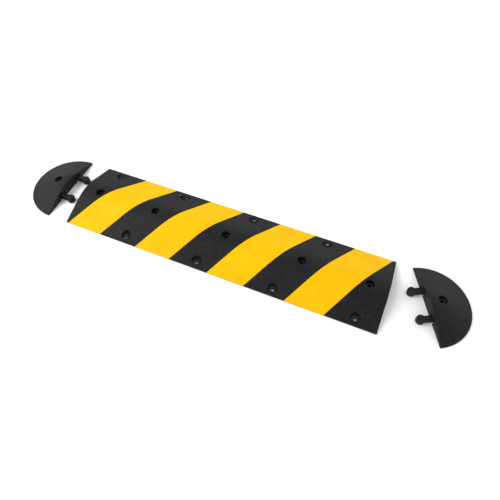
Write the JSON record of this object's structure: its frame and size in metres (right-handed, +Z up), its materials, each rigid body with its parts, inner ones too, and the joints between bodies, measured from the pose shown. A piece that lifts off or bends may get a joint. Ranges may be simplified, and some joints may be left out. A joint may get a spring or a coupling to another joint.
{
  "type": "cable protector ramp",
  "caption": "Low arched rubber ramp section with yellow diagonal stripes, anchor holes, two cable channels underneath and loose half-round end caps that plug onto its ends.",
  "frame": {"origin": "centre of the ramp section's base, on the road, on the axis of the middle ridge hole", "axes": "+X along the ramp towards the end whose cap lies turned, +Y across it towards the rear edge, +Z up from the road"},
  "size_m": [1.74, 0.3205, 0.046],
  "materials": {
    "ramp_rubber": "matt moulded rubber",
    "stripe_yellow": "satin yellow rubber inlay",
    "cap_rubber": "matt moulded rubber",
    "link_rubber": "hard matt rubber",
    "ferrule_steel": "black oxide steel"
  },
  "bodies": {
    "ramp": {"ramp_body": "ramp_rubber", "stripe_1": "stripe_yellow", "stripe_2": "stripe_yellow", "stripe_3": "stripe_yellow", "stripe_4": "stripe_yellow", "ridge_ferrule_1": "ferrule_steel", "ridge_ferrule_2": "ferrule_steel", "ridge_ferrule_3": "ferrule_steel", "ridge_ferrule_4": "ferrule_steel", "ridge_ferrule_5": "ferrule_steel", "front_ferrule_1": "ferrule_steel", "front_ferrule_2": "ferrule_steel", "front_ferrule_3": "ferrule_steel", "front_ferrule_4": "ferrule_steel", "rear_ferrule_1": "ferrule_steel", "rear_ferrule_2": "ferrule_steel", "rear_ferrule_3": "ferrule_steel", "rear_ferrule_4": "ferrule_steel"},
    "left_cap": {"left_end_cap": "cap_rubber", "left_cap_bush": "ferrule_steel", "left_link_front": "link_rubber", "left_link_rear": "link_rubber"},
    "right_bush": {"right_cap_bush": "ferrule_steel"},
    "right_cap": {"right_end_cap": "cap_rubber", "right_link_front": "link_rubber", "right_link_rear": "link_rubber"}
  },
  "joints": [
    {"name": "left_cap_slide", "type": "slide", "parent": "ramp", "child": "left_cap", "axis": [1, 0, 0], "range_m": [0, 0.0835]},
    {"name": "right_cap_slide", "type": "slide", "parent": "ramp", "child": "right_bush", "axis": [-0.9575, -0.2883, 0], "range_m": [0, 0.13062]},
    {"name": "right_cap_turn", "type": "hinge", "parent": "right_bush", "child": "right_cap", "pos_m": [0.78358, 0.03766, 0], "axis": [0, 0, 1], "range_deg": [-27.5, 0]}
  ],
  "couplings": [
    {"joint": "right_cap_turn", "follows": "right_cap_slide", "rad_per_m": -3.6744}
  ]
}
